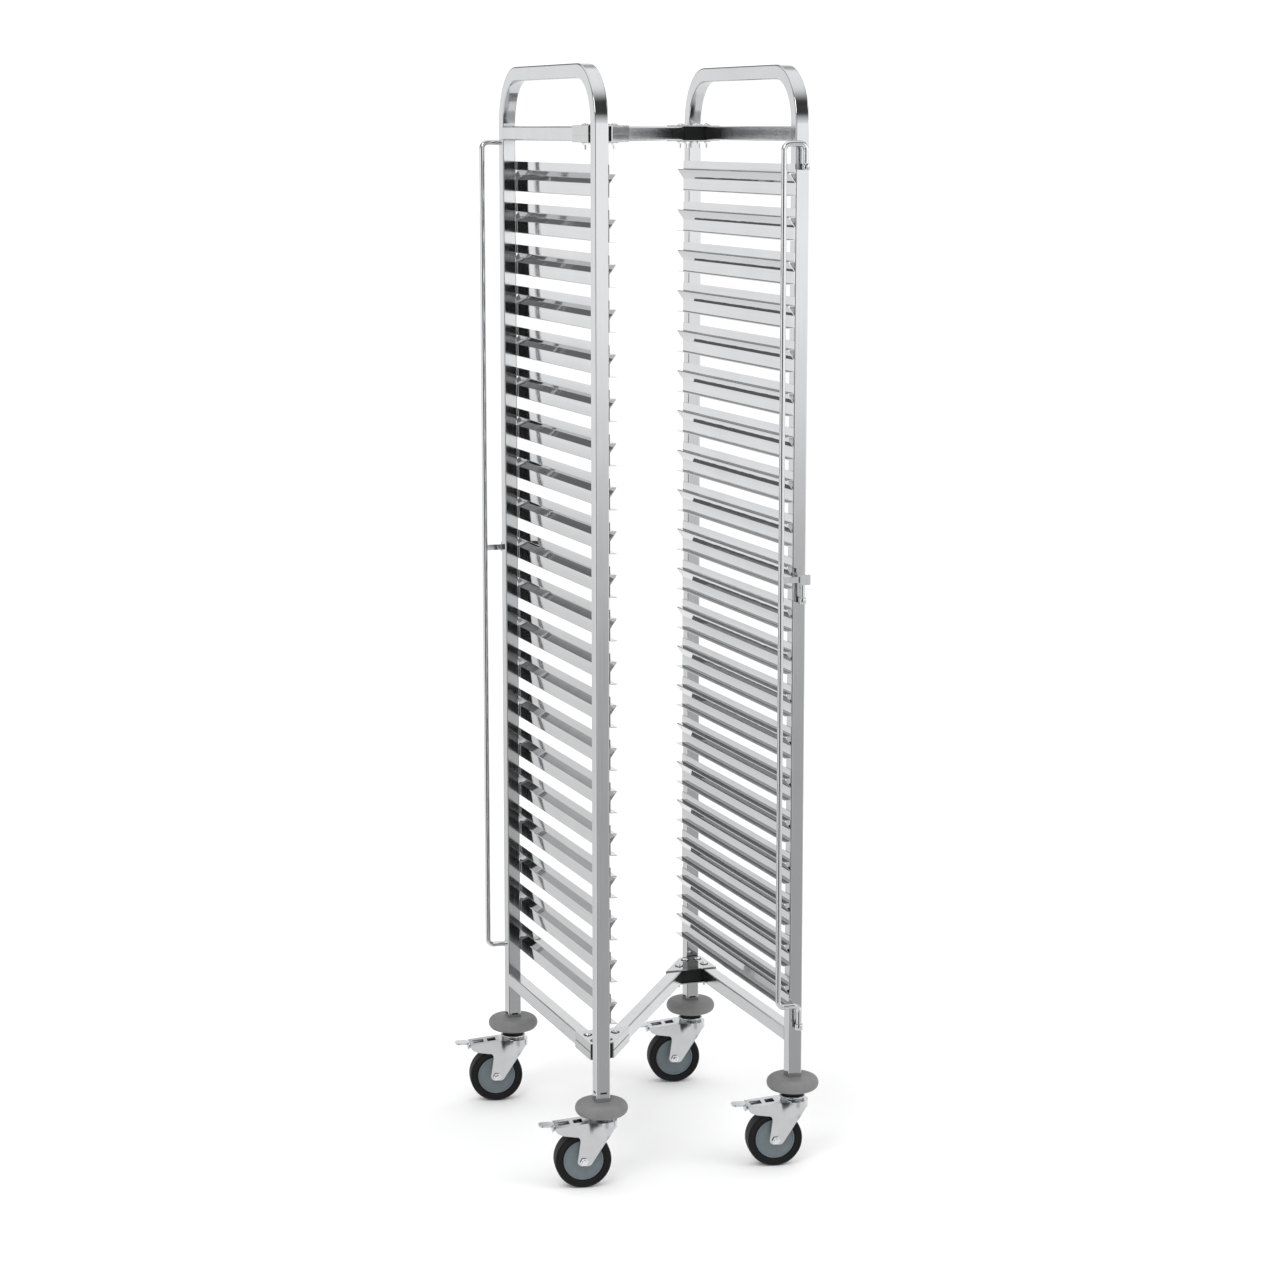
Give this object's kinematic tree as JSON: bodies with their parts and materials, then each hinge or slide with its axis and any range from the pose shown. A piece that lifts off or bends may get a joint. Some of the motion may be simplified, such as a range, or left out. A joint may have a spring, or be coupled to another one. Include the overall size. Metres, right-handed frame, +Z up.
{
  "type": "sheet pan rack",
  "caption": "Tall mobile tray rack: two tube side frames with slide rails, diagonal tie bars, swing-out retaining bars, corner bumpers and braked swivel casters.",
  "frame": {"origin": "on the floor, under the middle of the whole trolley's box", "axes": "+Z up, +X to the right seen from the loading side, +Y to the rear"},
  "size_m": [0.5168, 0.623, 1.94],
  "materials": {
    "tube_steel": "satin brushed stainless",
    "rail_steel": "bright polished stainless sheet",
    "bracket_steel": "bright pressed stainless sheet",
    "bar_steel": "polished stainless rod",
    "fastener_steel": "bright plated",
    "caster_steel": "zinc plated pressed steel",
    "race_steel": "bright ball race",
    "black_plastic": "moulded nylon",
    "bumper_rubber": "grey moulded rubber",
    "tyre_rubber": "solid rubber",
    "hub_plastic": "moulded blue grey plastic"
  },
  "bodies": {
    "frame": {"side_frame_left": "tube_steel", "side_frame_right": "tube_steel", "side_bar_left_top": "tube_steel", "side_bar_right_top": "tube_steel", "side_bar_left_bottom": "tube_steel", "side_bar_right_bottom": "tube_steel", "diagonal_bar_top": "tube_steel", "diagonal_bar_bottom": "tube_steel", "rails_left": "rail_steel", "rails_right": "rail_steel", "bracket_front_left_top_upper": "bracket_steel", "bracket_front_left_top_lower": "bracket_steel", "bracket_front_left_bottom_upper": "bracket_steel", "bracket_front_left_bottom_lower": "bracket_steel", "bracket_rear_right_top_upper": "bracket_steel", "bracket_rear_right_top_lower": "bracket_steel", "bracket_rear_right_bottom_upper": "bracket_steel", "bracket_rear_right_bottom_lower": "bracket_steel", "bracket_bolts_top": "fastener_steel", "bracket_bolts_bottom": "fastener_steel", "corner_connectors": "black_plastic", "connector_screws": "fastener_steel", "bar_sockets_left": "tube_steel", "bar_sockets_right": "tube_steel", "bumper_front_left": "bumper_rubber", "bumper_front_right": "bumper_rubber", "bumper_rear_left": "bumper_rubber", "bumper_rear_right": "bumper_rubber", "post_collars": "black_plastic", "expander_plugs": "black_plastic", "swivel_balls": "race_steel", "caster_stem_front_left": "race_steel", "caster_stem_front_right": "race_steel", "caster_stem_rear_left": "race_steel", "caster_stem_rear_right": "race_steel"},
    "swivel_front_left": {"caster_fork_front_left": "caster_steel", "caster_axle_front_left": "fastener_steel"},
    "wheel_front_left": {"tyre_front_left": "tyre_rubber", "hub_front_left": "hub_plastic"},
    "pedal_front_left": {"brake_pedal_front_left": "caster_steel"},
    "swivel_front_right": {"caster_fork_front_right": "caster_steel", "caster_axle_front_right": "fastener_steel"},
    "wheel_front_right": {"tyre_front_right": "tyre_rubber", "hub_front_right": "hub_plastic"},
    "pedal_front_right": {"brake_pedal_front_right": "caster_steel"},
    "swivel_rear_left": {"caster_fork_rear_left": "caster_steel", "caster_axle_rear_left": "fastener_steel"},
    "wheel_rear_left": {"tyre_rear_left": "tyre_rubber", "hub_rear_left": "hub_plastic"},
    "pedal_rear_left": {"brake_pedal_rear_left": "caster_steel"},
    "swivel_rear_right": {"caster_fork_rear_right": "caster_steel", "caster_axle_rear_right": "fastener_steel"},
    "wheel_rear_right": {"tyre_rear_right": "tyre_rubber", "hub_rear_right": "hub_plastic"},
    "pedal_rear_right": {"brake_pedal_rear_right": "caster_steel"},
    "bar_left": {"retaining_bar_left": "bar_steel", "thumb_plate_left": "bracket_steel"},
    "bar_right": {"retaining_bar_right": "bar_steel", "thumb_plate_right": "bracket_steel"}
  },
  "joints": [
    {"name": "caster_swivel_front_left", "type": "hinge", "parent": "frame", "child": "swivel_front_left", "pos_m": [-0.14759, -0.265, 0.115], "axis": [0, 0, 1], "continuous": true},
    {"name": "wheel_spin_front_left", "type": "hinge", "parent": "swivel_front_left", "child": "wheel_front_left", "pos_m": [-0.18108, -0.2591, 0.05], "axis": [-0.1736, -0.9848, 0], "continuous": true},
    {"name": "brake_pedal_front_left", "type": "hinge", "parent": "swivel_front_left", "child": "pedal_front_left", "pos_m": [-0.18699, -0.25805, 0.108], "axis": [-0.1736, -0.9848, 0], "range_deg": [0, 11]},
    {"name": "caster_swivel_front_right", "type": "hinge", "parent": "frame", "child": "swivel_front_right", "pos_m": [0.21241, -0.265, 0.115], "axis": [0, 0, 1], "continuous": true},
    {"name": "wheel_spin_front_right", "type": "hinge", "parent": "swivel_front_right", "child": "wheel_front_right", "pos_m": [0.17892, -0.2591, 0.05], "axis": [-0.1736, -0.9848, 0], "continuous": true},
    {"name": "brake_pedal_front_right", "type": "hinge", "parent": "swivel_front_right", "child": "pedal_front_right", "pos_m": [0.17302, -0.25805, 0.108], "axis": [-0.1736, -0.9848, 0], "range_deg": [0, 11]},
    {"name": "caster_swivel_rear_left", "type": "hinge", "parent": "frame", "child": "swivel_rear_left", "pos_m": [-0.14759, 0.265, 0.115], "axis": [0, 0, 1], "continuous": true},
    {"name": "wheel_spin_rear_left", "type": "hinge", "parent": "swivel_rear_left", "child": "wheel_rear_left", "pos_m": [-0.18108, 0.2709, 0.05], "axis": [-0.1736, -0.9848, 0], "continuous": true},
    {"name": "brake_pedal_rear_left", "type": "hinge", "parent": "swivel_rear_left", "child": "pedal_rear_left", "pos_m": [-0.18699, 0.27195, 0.108], "axis": [-0.1736, -0.9848, 0], "range_deg": [0, 11]},
    {"name": "caster_swivel_rear_right", "type": "hinge", "parent": "frame", "child": "swivel_rear_right", "pos_m": [0.21241, 0.265, 0.115], "axis": [0, 0, 1], "continuous": true},
    {"name": "wheel_spin_rear_right", "type": "hinge", "parent": "swivel_rear_right", "child": "wheel_rear_right", "pos_m": [0.17892, 0.2709, 0.05], "axis": [-0.1736, -0.9848, 0], "continuous": true},
    {"name": "brake_pedal_rear_right", "type": "hinge", "parent": "swivel_rear_right", "child": "pedal_rear_right", "pos_m": [0.17302, 0.27195, 0.108], "axis": [-0.1736, -0.9848, 0], "range_deg": [0, 11]},
    {"name": "retaining_bar_swing_left", "type": "hinge", "parent": "frame", "child": "bar_left", "pos_m": [-0.14759, 0.2925, 1.06], "axis": [0, 0, 1], "range_deg": [-180, 0]},
    {"name": "retaining_bar_swing_right", "type": "hinge", "parent": "frame", "child": "bar_right", "pos_m": [0.21241, -0.2925, 1.06], "axis": [0, 0, 1], "range_deg": [0, 180]}
  ]
}
